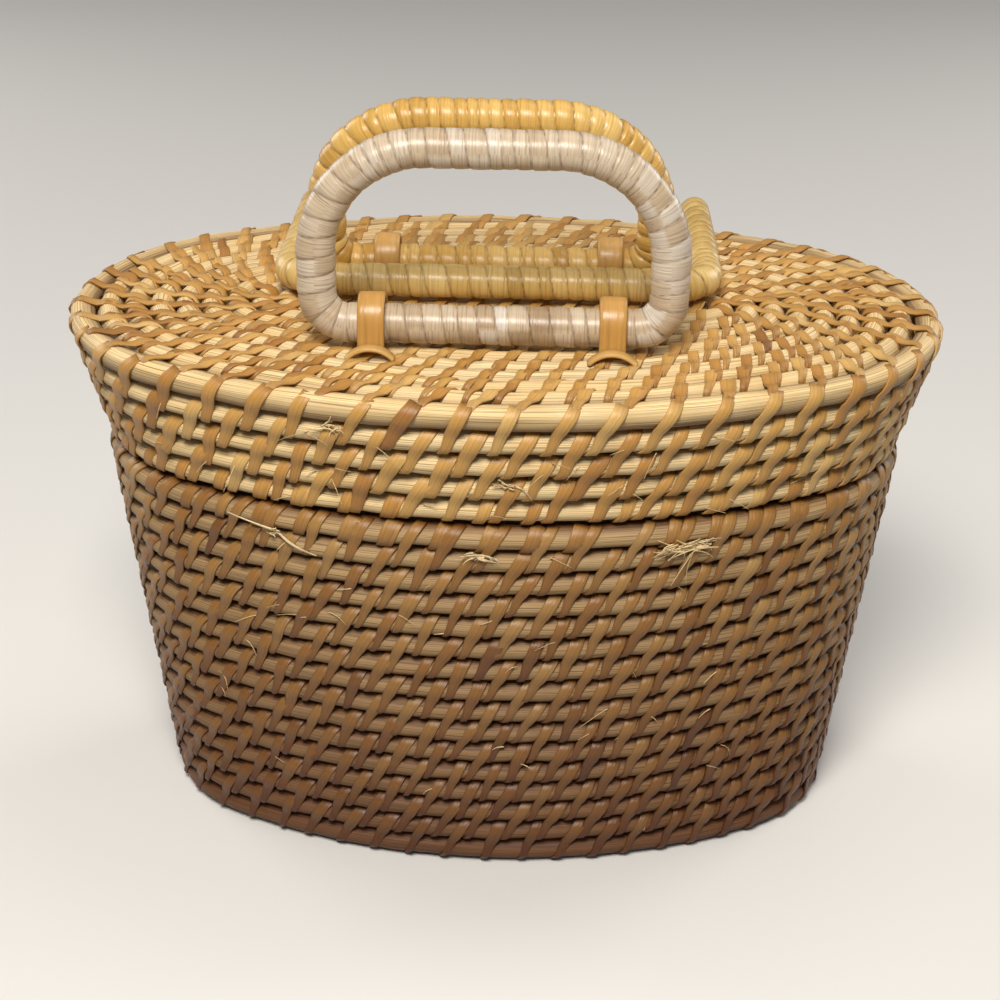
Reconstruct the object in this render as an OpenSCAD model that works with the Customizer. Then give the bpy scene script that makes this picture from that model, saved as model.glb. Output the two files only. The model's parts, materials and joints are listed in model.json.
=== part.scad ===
// Lidded coiled basket: an oval basket of stitched cane coils with a flush lid.
// Two wrapped ring handles stand on the lid, and a wrapped bail hooks over its back edge.
// Frame: +X along the length, +Y to the back, +Z up, origin on the floor under the middle.

/* [Plan] */
// Length over the lid's top edge
lid_length = 340; // [330:1:350]
// Depth over the lid's top edge
lid_depth = 228; // [220:1:236]
// Overhang of the lid's top edge beyond the joint between basket and lid
lid_flare = 12.5; // [10:0.5:15]
// Overhang of the joint beyond the foot
foot_taper = 19.5; // [15:0.5:25]
// Bow of the long sides beyond the round ends
side_bow = 20; // [17:0.5:23]

/* [Coils] */
// Thickness of one coil
coil_d = 11.2; // [11:0.1:12]
// Spacing of the rows on the wall and the lid's top
coil_pitch = 9.8; // [9:0.1:10.2]
// Spacing of the rows on the lid's side
lid_pitch = 10.1; // [9.4:0.1:10.4]
// Rows up the basket's wall
wall_rows = 16; // [12:1:20]
// Rows up the lid's side
lid_rows = 5; // [4:1:6]
// Thickness of the floor
web_t = 6; // [4:0.5:8]
// Distance of the inner face from the middle of the coils
lining = 3; // [2:0.25:4]
// Gap between the basket's top row and the lid's bottom row
seat_gap = 0.4; // [0.3:0.1:0.8]

/* [Locating collar] */
// Thickness of the collar
collar_t = 5; // [4:0.2:6]
// Height of the collar above the joint
collar_rise = 9; // [6:0.5:12]
// Room between the collar and the lid
collar_clear = 2.5; // [2:0.1:3.5]

/* [Stitches] */
// Width of a stitch of cane peel
stitch_w = 5.2; // [4:0.1:6]
// Thickness of a stitch
stitch_t = 1; // [0.6:0.1:1.4]
// Lean of a stitch from straight across its rows
stitch_slant = 22; // [10:1:28]
// Length of a stitch in rows
stitch_reach = 1.6; // [1.2:0.1:1.7]
// Least spacing of the stitches along a row
stitch_spacing = 16.8; // [16.5:0.1:20]
// Shift of the stitches from one row to the next, as a share of their spacing
stitch_step = 0.36; // [0.32:0.02:0.4]
// Outer rows of the lid's top that carry raised stitches
stitched_top_rows = 4; // [2:1:4]
// Room between a stitch and the crests of its rows
stitch_gap = 0.15; // [0.1:0.05:0.3]

/* [Ring handles] */
// Width over a ring handle
ring_w = 143.5; // [136:0.5:146]
// Height of a ring handle between the middles of its bars
ring_h = 66; // [58:1:70]
// Thickness of a wrapped ring handle
handle_d = 15; // [13:0.2:16]
// Thickness of the cane peel wrapped round a handle
wrap_t = 1.6; // [1:0.1:2.4]
// Radius of a ring's lower bends
ring_low_bend = 12; // [10:0.5:12]
// Radius of a ring's upper bends
ring_top_bend = 40; // [30:1:44]
// Front ring's bar, this far in front of the middle
front_bar_y = 56; // [52:0.5:60]
// Rear ring's bar, this far behind the middle
rear_bar_y = 15; // [14:0.5:20]
// Forward lean of the rear ring
rear_lean = 15.5; // [0:0.5:24]
// Shift of the handles along the lid
handle_shift = -3; // [-4:0.5:4]
// Shift of the rear ring in its straps
rear_shift = -3; // [-3:0.5:3]

/* [Bail] */
// Thickness of the wrapped bail
bail_d = 13.4; // [12:0.2:14]
// Gap between the rings and the bail's sides
bail_gap = 3.55; // [3.5:0.05:5]
// Gap between the bail's grip and the rear ring's bar
grip_gap = 5.4; // [4:0.1:8]
// Radius of the bail's corners
bail_bend = 14; // [12:0.5:15]
// Radius of the bail's bends over the lid's back edge
bail_drop_bend = 18; // [16:0.5:20]
// Hinge bar of the bail, this far below the joint
hinge_drop = 16; // [15:0.5:20]

/* [Straps] */
// Width of a strap
strap_w = 10; // [8:0.2:11]
// Thickness of a strap
strap_t = 1.6; // [1:0.1:2]
// Distance of the ring straps from the middle of the rings' sides
strap_inset = 20.25; // [20:0.25:26]
// Slack of a ring strap above its bar
strap_slack = 2.5; // [1:0.25:4]
// Distance of the bail straps from the middle of the bail's sides
bail_strap_inset = 22; // [20:0.5:32]
// Running clearance of a handle in its strap
strap_fit = 0.1; // [0.05:0.01:0.1]
// Length of the small cane staple beside each ring strap
staple_l = 18; // [14:0.5:18]
// Rise of a staple
staple_h = 4; // [3:0.2:4.5]
// Width of a staple
staple_w = 5; // [4:0.2:6]
// Thickness of a staple
staple_t = 1.6; // [1.2:0.1:2]
// Room between pieces that lie against each other
seat_clear = 0.3; // [0.2:0.05:0.5]

/* [Hidden] */
$fn = 48;

// Four-centred oval: ends of radius r round (+-end_centre, 0), sides of radius r + side_extra
coil_r = coil_d / 2;
edge_r = lid_depth / 2 - side_bow - coil_r;
joint_r = edge_r - lid_flare;
foot_r = joint_r - foot_taper;
end_centre = lid_length / 2 - edge_r - coil_r;
side_centre = (end_centre * end_centre - side_bow * side_bow) / (2 * side_bow);
side_extra = side_centre + side_bow;
side_angle = atan2(end_centre, side_centre);

// Heights
wall_top_z = coil_r + (wall_rows - 1) * coil_pitch;
joint_z = wall_top_z + coil_r;
lid_low_z = joint_z + seat_gap + coil_r;
edge_z = lid_low_z + (lid_rows - 1) * lid_pitch;
lid_top = edge_z + coil_r;
stitched_top = lid_top + stitch_gap + stitch_t;

// Coil rows of the lid's top inside its edge
lid_top_rows = floor((edge_r - coil_r - seat_clear) / coil_pitch);

// The collar stands upright from where it meets the sloping wall
wall_slope = (joint_r - foot_r) / (joint_z - web_t);
collar_low_z = joint_z - (collar_clear - seat_clear) / wall_slope;
collar_top_z = joint_z + collar_rise;

// Handles
handle_r = handle_d / 2;
core_r = handle_r - wrap_t;
core_fit = 0.05;
bail_r = bail_d / 2;
bail_core_r = bail_r - wrap_t;
ring_half = ring_w / 2 - handle_r;
bar_z = stitched_top + seat_clear + handle_r;
bail_z = stitched_top + seat_clear + bail_r;
bail_half = ring_w / 2 + bail_gap + bail_r;
grip_y = rear_bar_y - handle_r - grip_gap - bail_r;
stitch_half = (stitch_reach * coil_pitch * cos(stitch_slant) + stitch_w * sin(stitch_slant)) / 2;
strap_x = ring_half - strap_inset;
bail_strap_x = bail_half - bail_strap_inset;
hinge_z = joint_z - hinge_drop;
edge_y_at_bail = side_y(edge_r + coil_r + stitch_gap + stitch_t, bail_half + abs(handle_shift));
wall_y_at_hinge = joint_r + coil_r + stitch_t + stitch_gap + side_bow;
bail_back_y = max(edge_y_at_bail, wall_y_at_hinge) + bail_r + seat_clear;
staple_y = handle_r + strap_fit + strap_t + seat_clear + staple_w / 2;

// Distance behind the middle of the oval's long side at x, for the oval of end radius r
function side_y(r, x) = sqrt(pow(r + side_extra, 2) - x * x) - side_centre;

// Lengths of a quarter's end arc and side arc, and of the whole oval
function end_arc(r) = r * (90 - side_angle) * PI / 180;
function side_arc(r) = (r + side_extra) * side_angle * PI / 180;
function oval_length(r) = 4 * (end_arc(r) + side_arc(r));

// Outward direction at a length along the oval's first quarter, then all the way round
function quarter_angle(r, l) =
    l < end_arc(r) ? l / r * 180 / PI : 90 - side_angle + (l - end_arc(r)) / (r + side_extra) * 180 / PI;
function oval_angle(r, l) =
    let (quarter = oval_length(r) / 4, turn = floor(l / quarter), rest = l - turn * quarter)
    turn % 2 == 0 ? 90 * turn + quarter_angle(r, rest) : 90 * (turn + 1) - quarter_angle(r, quarter - rest);

// True where an outward direction belongs to a round end
function at_end(a) = abs(cos(a)) > sin(side_angle);
function arc_centre(a) = at_end(a) ? [sign(cos(a)) * end_centre, 0, 0] : [0, -sign(sin(a)) * side_centre, 0];
function arc_radius(r, a) = at_end(a) ? r : r + side_extra;

// Radius and height of each row of the wall and of the lid's side
function wall_r(i) = foot_r + (joint_r - foot_r) * i / (wall_rows - 1);
function wall_z(i) = coil_r + i * coil_pitch;
function lid_r(i) = joint_r + (edge_r - joint_r) * i / (lid_rows - 1);
function lid_z(i) = lid_low_z + i * lid_pitch;
function top_r(i) = edge_r - i * coil_pitch;

// Sweeps a profile, drawn at its end radius, round the four arcs of the oval
module round_oval() {
    for (flip = [0, 1])
        mirror([flip, 0, 0])
            translate([end_centre, 0, 0])
                rotate([0, 0, side_angle - 90])
                    rotate_extrude(angle = 180 - 2 * side_angle)
                        children();
    for (flip = [0, 1])
        mirror([0, flip, 0])
            translate([0, -side_centre, 0])
                rotate([0, 0, 90 - side_angle])
                    rotate_extrude(angle = 2 * side_angle)
                        translate([side_extra, 0])
                            children();
}

// One coil row in a profile
module row(r, z, d = coil_d) {
    translate([r, z])
        circle(d = d);
}

// Lens-shaped middle of a coiled oval, inside its innermost round row
module oval_middle(z, height) {
    translate([0, 0, z])
        linear_extrude(height)
            intersection() {
                translate([0, side_centre])
                    circle(r = side_extra, $fn = 180);
                translate([0, -side_centre])
                    circle(r = side_extra, $fn = 180);
            }
}

module basket_body() {
    color("burlywood") {
        round_oval()
            difference() {
                union() {
                    for (i = [0 : wall_rows - 1])
                        row(wall_r(i), wall_z(i));
                    polygon([[0, 0], [foot_r, 0], [joint_r, wall_top_z], [0, wall_top_z]]);
                }
                polygon([[0, web_t], [foot_r - lining, web_t], [joint_r - lining, joint_z], [0, joint_z]]);
            }
        oval_middle(0, web_t);
    }
}

// True for a stitch that would lie under a leg of a bail strap
function under_strap(p) =
    p.y > 0 && abs(p.z - hinge_z) < 2 * bail_r
    && min(abs(p.x - handle_shift - bail_strap_x), abs(p.x - handle_shift + bail_strap_x)) < strap_w / 2 + stitch_w;

// True for a stitch that would run into a ring strap's staple
function by_staple(p) =
    p.z > lid_top && abs(abs(p.x - handle_shift) - strap_x) < staple_l / 2 + stitch_half
    && (p.y < 0 ? -p.y - front_bar_y : p.y - rear_bar_y) < staple_y + staple_w / 2 + stitch_half + stitch_t;

// Copies of a stitch on the oval of end radius r at height z, facing outward along +X.
// They are spaced evenly on the row of end radius even_r.
module along_oval(r, z, count, level, even_r) {
    shift = stitch_step * level;
    for (i = [0 : count - 1]) {
        a = oval_angle(even_r, (i + shift - floor(shift)) * oval_length(even_r) / count);
        p = arc_centre(a) + arc_radius(r, a) * [cos(a), sin(a), 0] + [0, 0, z];
        if (!under_strap(p) && !by_staple(p))
            translate(p)
                rotate([0, 0, a])
                    children();
    }
}

// Stitches across two rows of a side: the lower row at r0, z0 and the upper at r1, z1
module side_stitches(r0, z0, r1, z1, count, level) {
    along_oval((r0 + r1) / 2, (z0 + z1) / 2, count, -level, (r0 + r1) / 2)
        rotate([0, atan2(r1 - r0, z1 - z0), 0])
            translate([coil_r + stitch_gap + stitch_t / 2, 0, 0])
                rotate([-stitch_slant, 0, 0])
                    cube([stitch_t, stitch_w, stitch_reach * coil_pitch], center = true);
}

module body_stitches() {
    count = floor(oval_length(foot_r) / stitch_spacing);
    color("peru")
        for (i = [0 : wall_rows - 2])
            side_stitches(wall_r(i), wall_z(i), wall_r(i + 1), wall_z(i + 1), count, i);
}

module locating_collar() {
    r = joint_r - lining - collar_clear - collar_t;
    color("tan")
        round_oval()
            translate([r, collar_low_z])
                square([collar_t, collar_top_z - collar_low_z]);
}

module lid() {
    under_z = edge_z - lining;
    color("wheat") {
        round_oval()
            difference() {
                union() {
                    for (i = [0 : lid_rows - 1])
                        row(lid_r(i), lid_z(i));
                    for (i = [1 : lid_top_rows])
                        row(top_r(i), edge_z);
                    polygon([[0, lid_low_z], [joint_r, lid_low_z], [edge_r, edge_z], [0, edge_z]]);
                }
                polygon([[0, joint_z], [joint_r - lining, joint_z], [edge_r - lining, under_z], [0, under_z]]);
            }
        oval_middle(under_z, coil_r + lining);
    }
}

module lid_stitches() {
    side_count = floor(oval_length(joint_r) / stitch_spacing);
    inner_r = top_r(stitched_top_rows);
    top_count = floor(oval_length(inner_r) / stitch_spacing);
    color("goldenrod") {
        for (i = [0 : lid_rows - 2])
            side_stitches(lid_r(i), lid_z(i), lid_r(i + 1), lid_z(i + 1), side_count, wall_rows + i);
        for (i = [0 : stitched_top_rows - 1])
            along_oval((top_r(i) + top_r(i + 1)) / 2, lid_top + stitch_gap + stitch_t / 2, top_count, -i, inner_r)
                rotate([0, 0, -stitch_slant])
                    cube([stitch_reach * coil_pitch, stitch_w, stitch_t], center = true);
    }
}

// Straight tube of radius r from a point along a direction given by its rotation
module tube(from, turn, length, r) {
    translate(from)
        rotate(turn)
            cylinder(h = length, r = r);
}

// Quarter bend of a tube: it leaves its centre along local +X and ends along local +Y
module bend(centre, turn, bend_r, r) {
    translate(centre)
        rotate(turn)
            rotate_extrude(angle = 90)
                translate([bend_r, 0])
                    circle(r = r);
}

// Ring handle of tube radius r, its lower bar along X through the origin
module ring_solid(r) {
    low_l = 2 * (ring_half - ring_low_bend);
    top_l = 2 * (ring_half - ring_top_bend);
    side_l = ring_h - ring_low_bend - ring_top_bend;
    tube([-low_l / 2, 0, 0], [0, 90, 0], low_l, r);
    tube([-top_l / 2, 0, ring_h], [0, 90, 0], top_l, r);
    for (flip = [0, 1])
        mirror([flip, 0, 0]) {
            tube([ring_half, 0, ring_low_bend], [0, 0, 0], side_l, r);
            bend([low_l / 2, 0, ring_low_bend], [-90, 0, 0], ring_low_bend, r);
            bend([top_l / 2, 0, ring_h - ring_top_bend], [90, 0, 0], ring_top_bend, r);
        }
}

// Bail of tube radius r: grip on the lid, sides over its back edge, hinge bar behind the basket
module bail_solid(r) {
    bar_l = 2 * (bail_half - bail_bend);
    run_l = bail_back_y - bail_drop_bend - grip_y - bail_bend;
    drop_l = bail_z - bail_drop_bend - hinge_z - bail_bend;
    tube([-bar_l / 2, grip_y, bail_z], [0, 90, 0], bar_l, r);
    tube([-bar_l / 2, bail_back_y, hinge_z], [0, 90, 0], bar_l, r);
    for (flip = [0, 1])
        mirror([flip, 0, 0]) {
            bend([bar_l / 2, grip_y + bail_bend, bail_z], [0, 0, -90], bail_bend, r);
            tube([bail_half, grip_y + bail_bend, bail_z], [-90, 0, 0], run_l, r);
            bend([bail_half, bail_back_y - bail_drop_bend, bail_z - bail_drop_bend], [90, 0, 90], bail_drop_bend, r);
            tube([bail_half, bail_back_y, hinge_z + bail_bend], [0, 0, 0], drop_l, r);
            bend([bar_l / 2, bail_back_y, hinge_z + bail_bend], [-90, 0, 0], bail_bend, r);
        }
}

module at_front_ring() {
    translate([handle_shift, -front_bar_y, bar_z])
        children();
}

module at_rear_ring() {
    translate([handle_shift + rear_shift, rear_bar_y, bar_z])
        rotate([rear_lean, 0, 0])
            children();
}

module at_bail() {
    translate([handle_shift, 0, 0])
        children();
}

module handle_core() {
    color("saddlebrown")
        ring_solid(core_r - core_fit);
}

module front_handle_core() {
    at_front_ring()
        handle_core();
}

module rear_handle_core() {
    at_rear_ring()
        handle_core();
}

module front_handle_wrap() {
    color("linen")
        at_front_ring()
            difference() {
                ring_solid(handle_r);
                ring_solid(core_r);
            }
}

module rear_handle_wrap() {
    color("gold")
        at_rear_ring()
            difference() {
                ring_solid(handle_r);
                ring_solid(core_r);
            }
}

module bail_core() {
    color("saddlebrown")
        at_bail()
            bail_solid(bail_core_r - core_fit);
}

module bail_wrap() {
    color("darkkhaki")
        at_bail()
            difference() {
                bail_solid(bail_r);
                bail_solid(bail_core_r);
            }
}

// Strap bent round a bar of radius r along X at the origin, its two legs reaching down by leg
module strap(r, leg) {
    inner = r + strap_fit;
    outer = inner + strap_t;
    rotate([90, 0, 90])
        linear_extrude(strap_w, center = true)
            difference() {
                union() {
                    circle(r = outer);
                    translate([-outer, -leg])
                        square([2 * outer, leg]);
                }
                circle(r = inner);
                translate([-inner, -leg - strap_t])
                    square([2 * inner, leg + strap_t]);
            }
}

ring_strap_leg = bar_z + strap_slack - lid_top - seat_clear;

module ring_strap(side, bar_y) {
    color("chocolate")
        translate([handle_shift + side * strap_x, bar_y, bar_z + strap_slack])
            strap(handle_r, ring_strap_leg);
}

module front_strap_left() { ring_strap(-1, -front_bar_y); }
module front_strap_right() { ring_strap(1, -front_bar_y); }
module rear_strap_left() { ring_strap(-1, rear_bar_y); }
module rear_strap_right() { ring_strap(1, rear_bar_y); }

// Arched strip of cane on the lid: a slice of a ring, its chord at the foot
module staple(side, y) {
    outer = (staple_l * staple_l / 4 + staple_h * staple_h) / (2 * staple_h);
    color("sandybrown")
        translate([handle_shift + side * strap_x, y, lid_top + seat_clear])
            rotate([90, 0, 0])
                linear_extrude(staple_w, center = true)
                    intersection() {
                        translate([0, staple_h - outer])
                            difference() {
                                circle(r = outer);
                                circle(r = outer - staple_t);
                            }
                        translate([-staple_l / 2, 0])
                            square([staple_l, staple_h]);
                    }
}

module front_staple_left() { staple(-1, -front_bar_y - staple_y); }
module front_staple_right() { staple(1, -front_bar_y - staple_y); }
module rear_staple_left() { staple(-1, rear_bar_y + staple_y); }
module rear_staple_right() { staple(1, rear_bar_y + staple_y); }

// Strap of the bail's hinge bar, its legs reaching forward to the basket's wall
module bail_strap(side) {
    x = handle_shift + side * bail_strap_x;
    wall_y = side_y(joint_r + coil_r, abs(x) - strap_w / 2);
    color("chocolate")
        translate([x, bail_back_y, hinge_z])
            rotate([-90, 0, 0])
                strap(bail_r, bail_back_y - wall_y - seat_clear);
}

module bail_strap_left() { bail_strap(-1); }
module bail_strap_right() { bail_strap(1); }

basket_body();
body_stitches();
locating_collar();
lid();
lid_stitches();
front_handle_core();
front_handle_wrap();
rear_handle_core();
rear_handle_wrap();
bail_core();
bail_wrap();
front_strap_left();
front_strap_right();
rear_strap_left();
rear_strap_right();
front_staple_left();
front_staple_right();
rear_staple_left();
rear_staple_right();
bail_strap_left();
bail_strap_right();
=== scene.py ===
"""Lidded coiled rattan basket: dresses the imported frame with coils, stitches, wraps and loose fibres."""
import json
import math
import random

import bpy
import numpy as np
from mathutils import Matrix, Vector


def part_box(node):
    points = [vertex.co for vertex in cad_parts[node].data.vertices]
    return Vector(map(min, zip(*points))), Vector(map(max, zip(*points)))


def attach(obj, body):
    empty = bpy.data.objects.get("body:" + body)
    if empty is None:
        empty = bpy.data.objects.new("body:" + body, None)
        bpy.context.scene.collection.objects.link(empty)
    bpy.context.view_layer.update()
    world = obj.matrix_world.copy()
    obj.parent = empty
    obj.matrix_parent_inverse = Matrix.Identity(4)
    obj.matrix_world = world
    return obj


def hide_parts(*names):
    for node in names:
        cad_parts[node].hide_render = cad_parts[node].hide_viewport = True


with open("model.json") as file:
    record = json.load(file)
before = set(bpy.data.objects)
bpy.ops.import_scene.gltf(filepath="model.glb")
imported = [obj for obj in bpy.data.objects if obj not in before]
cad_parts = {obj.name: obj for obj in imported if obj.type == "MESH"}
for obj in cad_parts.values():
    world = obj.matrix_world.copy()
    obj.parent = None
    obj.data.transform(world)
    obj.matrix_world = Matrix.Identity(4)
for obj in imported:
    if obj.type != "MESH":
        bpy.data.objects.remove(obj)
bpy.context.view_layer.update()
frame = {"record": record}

# Sizes repeated from the part's source, in metres
END_CENTRE = 0.076
COIL_R = 0.0056
COIL_PITCH = 0.0098
LID_PITCH = 0.0101
WALL_ROWS = 16
LID_ROWS = 5
RING_H = 0.066
RING_LOW_BEND = 0.012
RING_TOP_BEND = 0.040
REAR_LEAN = math.radians(15.5)
BAIL_BEND = 0.014
BAIL_DROP_BEND = 0.018
STRAP_T = 0.0016
FOOT_TAPER = 0.0195

# Places read from the frame
body_high = np.array(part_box("basket_body")[1])
lid_high = np.array(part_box("lid")[1])
joints = {joint["name"]: joint for joint in frame["record"]["behaviour"]["joints"]}
front_bar = np.array(joints["front_handle_fold"]["pos_m"])
rear_bar = np.array(joints["rear_handle_fold"]["pos_m"])
hinge_bar = np.array(joints["lid_hinge"]["pos_m"])

# Four-centred oval: ends of radius r, sides of radius r + SIDE_EXTRA
EDGE_R = lid_high[0] - END_CENTRE - COIL_R
SIDE_BOW = lid_high[1] - COIL_R - EDGE_R
SIDE_CENTRE = (END_CENTRE**2 - SIDE_BOW**2) / (2 * SIDE_BOW)
SIDE_EXTRA = SIDE_CENTRE + SIDE_BOW
SIDE_ANGLE = math.atan2(END_CENTRE, SIDE_CENTRE)
JOINT_R = body_high[0] - END_CENTRE - COIL_R
FOOT_R = JOINT_R - FOOT_TAPER
EDGE_Z = lid_high[2] - COIL_R
LID_LOW_Z = EDGE_Z - (LID_ROWS - 1) * LID_PITCH

# Stitches of cane peel
STITCH_W = 0.0052
STITCH_T = 0.0006
STITCHES = 48
TOP_SPACING = 0.0118
STITCH_SLANT = 0.55
STITCH_STEP = 0.36

# Coils: share of the radius left on the flat inside, and samples along long and short rows
COIL_FLAT = 0.55
LONG_STEPS = 260
SHORT_STEPS = 180

# Sampling along a wrapped handle, and half the floor's side
WRAP_STEP = 0.00055
FLOOR_HALF = 6.0


def chaos(seed):
    """A seeded source of random numbers for one group of pieces."""
    return random.Random(seed)


def stitch_tone(noise, middle=0.46, spread=0.15):
    """Random tone of one stitch, within 0 to 1."""
    return min(1.0, max(0.0, noise.gauss(middle, spread)))


# Oval


def end_arc(r):
    return r * (math.pi / 2 - SIDE_ANGLE)


def side_arc(r):
    return (r + SIDE_EXTRA) * SIDE_ANGLE


def oval_length(r):
    return 4 * (end_arc(r) + side_arc(r))


def oval_angle(r, length):
    """Outward direction at a length along the oval, measured from +X."""
    quarter = oval_length(r) / 4
    turn = math.floor(length / quarter)
    rest = length - turn * quarter
    if turn % 2:
        return math.pi / 2 * (turn + 1) - quarter_angle(r, quarter - rest)
    return math.pi / 2 * turn + quarter_angle(r, rest)


def quarter_angle(r, length):
    if length < end_arc(r):
        return length / r
    return math.pi / 2 - SIDE_ANGLE + (length - end_arc(r)) / (r + SIDE_EXTRA)


def at_end(angle):
    return abs(math.cos(angle)) > math.sin(SIDE_ANGLE)


def arc_radius(r, angle):
    return r if at_end(angle) else r + SIDE_EXTRA


def oval_point(r, angle, z):
    """Point of the oval of end radius r whose outward direction is the angle."""
    if at_end(angle):
        cx, cy = math.copysign(END_CENTRE, math.cos(angle)), 0.0
    else:
        cx, cy = 0.0, -math.copysign(SIDE_CENTRE, math.sin(angle))
    reach = arc_radius(r, angle)
    return np.array([cx + reach * math.cos(angle), cy + reach * math.sin(angle), z])


def front_angle(r, x):
    """Outward direction at x on the long front side."""
    return 1.5 * math.pi + math.asin(x / (r + SIDE_EXTRA))


def outward(angle):
    return np.array([math.cos(angle), math.sin(angle), 0])


def sideways(angle):
    return np.array([-math.sin(angle), math.cos(angle), 0])


def upward(z):
    return np.array([0, 0, z])


def node_box(node):
    """Low and high corner of a CAD node."""
    return [np.array(corner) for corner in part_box(node)]


# Mesh making


class Build:
    """Gathers the faces of one piece, with UVs in metres and two values for each vertex."""

    def __init__(self):
        self.verts, self.faces, self.uvs, self.tone, self.age = [], [], [], [], []

    def grid(self, rings, tone, age, close_u=False, close_v=True, caps=False, u_len=1.0, v_len=1.0):
        """Skin over rings, an array of shape (along, around, 3)."""
        n, m = rings.shape[:2]
        base = len(self.verts)
        self.verts.extend(rings.reshape(-1, 3).tolist())
        self.tone.extend(np.broadcast_to(tone, (n, m)).reshape(-1).tolist())
        self.age.extend(np.broadcast_to(age, (n, m)).reshape(-1).tolist())
        for i in range(n if close_u else n - 1):
            i2 = (i + 1) % n
            u0, u1 = i * u_len / n, (i + 1) * u_len / n
            for j in range(m if close_v else m - 1):
                j2 = (j + 1) % m
                v0, v1 = j * v_len / m, (j + 1) * v_len / m
                here, there = base + i * m, base + i2 * m
                self.faces.append((here + j, there + j, there + j2, here + j2))
                self.uvs.extend(((u0, v0), (u1, v0), (u1, v1), (u0, v1)))
        if caps:
            for ring, order in ((0, range(m)), (n - 1, range(m - 1, -1, -1))):
                self.faces.append(tuple(base + ring * m + j for j in order))
                self.uvs.extend((0.0, j * v_len / m) for j in order)

    def piece(self, name, material, body, replaces=()):
        """Makes the Blender object and ties it to its body."""
        mesh = bpy.data.meshes.new(name)
        mesh.from_pydata(self.verts, [], self.faces)
        layer = mesh.uv_layers.new(name="UVMap")
        layer.data.foreach_set("uv", np.array(self.uvs, dtype=np.float32).reshape(-1))
        for label, values in (("tone", self.tone), ("age", self.age)):
            attribute = mesh.attributes.new(label, "FLOAT", "POINT")
            attribute.data.foreach_set("value", np.array(values, dtype=np.float32))
        mesh.polygons.foreach_set("use_smooth", [True] * len(mesh.polygons))
        mesh.materials.append(material)
        mesh.update()
        obj = bpy.data.objects.new(name, mesh)
        bpy.context.scene.collection.objects.link(obj)
        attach(obj, body)
        if replaces:
            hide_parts(*replaces)
        return obj


def band(build, path, across, width, thickness, tone, age):
    """Strip of cane with rounded edges along a path, its width along across."""
    path = np.array(path)
    ahead = np.gradient(path, axis=0)
    ahead /= np.linalg.norm(ahead, axis=1)[:, None]
    wide = np.broadcast_to(across, path.shape)
    up = np.cross(wide, ahead)
    outline = [(-0.5, 0.0), (-0.47, 0.35), (-0.38, 0.5), (0.0, 0.56), (0.38, 0.5), (0.47, 0.35),
               (0.5, 0.0), (0.47, -0.35), (0.38, -0.5), (-0.38, -0.5), (-0.47, -0.35)]
    rings = np.stack([path + wide * x * width + up * h * thickness for x, h in outline], 1)
    build.grid(rings, tone, age, caps=True, u_len=len(path) * 0.0008, v_len=2 * width)


# Materials


class Nodes:
    """Short way to write a node tree round one principled shader."""

    def __init__(self, name):
        self.material = bpy.data.materials.new(name)
        self.material.use_nodes = True
        self.tree = self.material.node_tree
        self.shader = self.tree.nodes["Principled BSDF"]

    def add(self, kind, **values):
        node = self.tree.nodes.new(kind)
        for key, value in values.items():
            setattr(node, key, value)
        return node

    def link(self, source, target):
        self.tree.links.new(source, target)

    def value(self, name):
        return self.add("ShaderNodeAttribute", attribute_name=name).outputs["Fac"]

    def math(self, operation, a, b):
        node = self.add("ShaderNodeMath", operation=operation)
        for socket, value in zip(node.inputs, (a, b)):
            if isinstance(value, (int, float)):
                socket.default_value = value
            else:
                self.link(value, socket)
        return node.outputs[0]

    def ramp(self, fac, stops):
        node = self.add("ShaderNodeValToRGB")
        elements = node.color_ramp.elements
        while len(elements) < len(stops):
            elements.new(0.5)
        for element, (place, colour) in zip(elements, stops):
            element.position = place
            element.color = (*colour, 1)
        self.link(fac, node.inputs["Fac"])
        return node.outputs["Color"]

    def mix(self, blend, fac, a, b):
        node = self.add("ShaderNodeMix", data_type="RGBA", blend_type=blend)
        for socket, value in ((node.inputs[0], fac), (node.inputs[6], a), (node.inputs[7], b)):
            if isinstance(value, (int, float)):
                socket.default_value = value
            elif isinstance(value, tuple):
                socket.default_value = (*value, 1)
            else:
                self.link(value, socket)
        return node.outputs[2]

    def noise(self, vector, scale, detail=3.0):
        node = self.add("ShaderNodeTexNoise")
        node.inputs["Scale"].default_value = scale
        node.inputs["Detail"].default_value = detail
        self.link(vector, node.inputs["Vector"])
        return node.outputs["Fac"]

    def stretched(self, source, scale):
        node = self.add("ShaderNodeMapping")
        node.inputs["Scale"].default_value = scale
        self.link(source, node.inputs["Vector"])
        return node.outputs["Vector"]

    def bump(self, height, strength, distance):
        node = self.add("ShaderNodeBump")
        node.inputs["Strength"].default_value = strength
        node.inputs["Distance"].default_value = distance
        self.link(height, node.inputs["Height"])
        self.link(node.outputs["Normal"], self.shader.inputs["Normal"])


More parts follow.
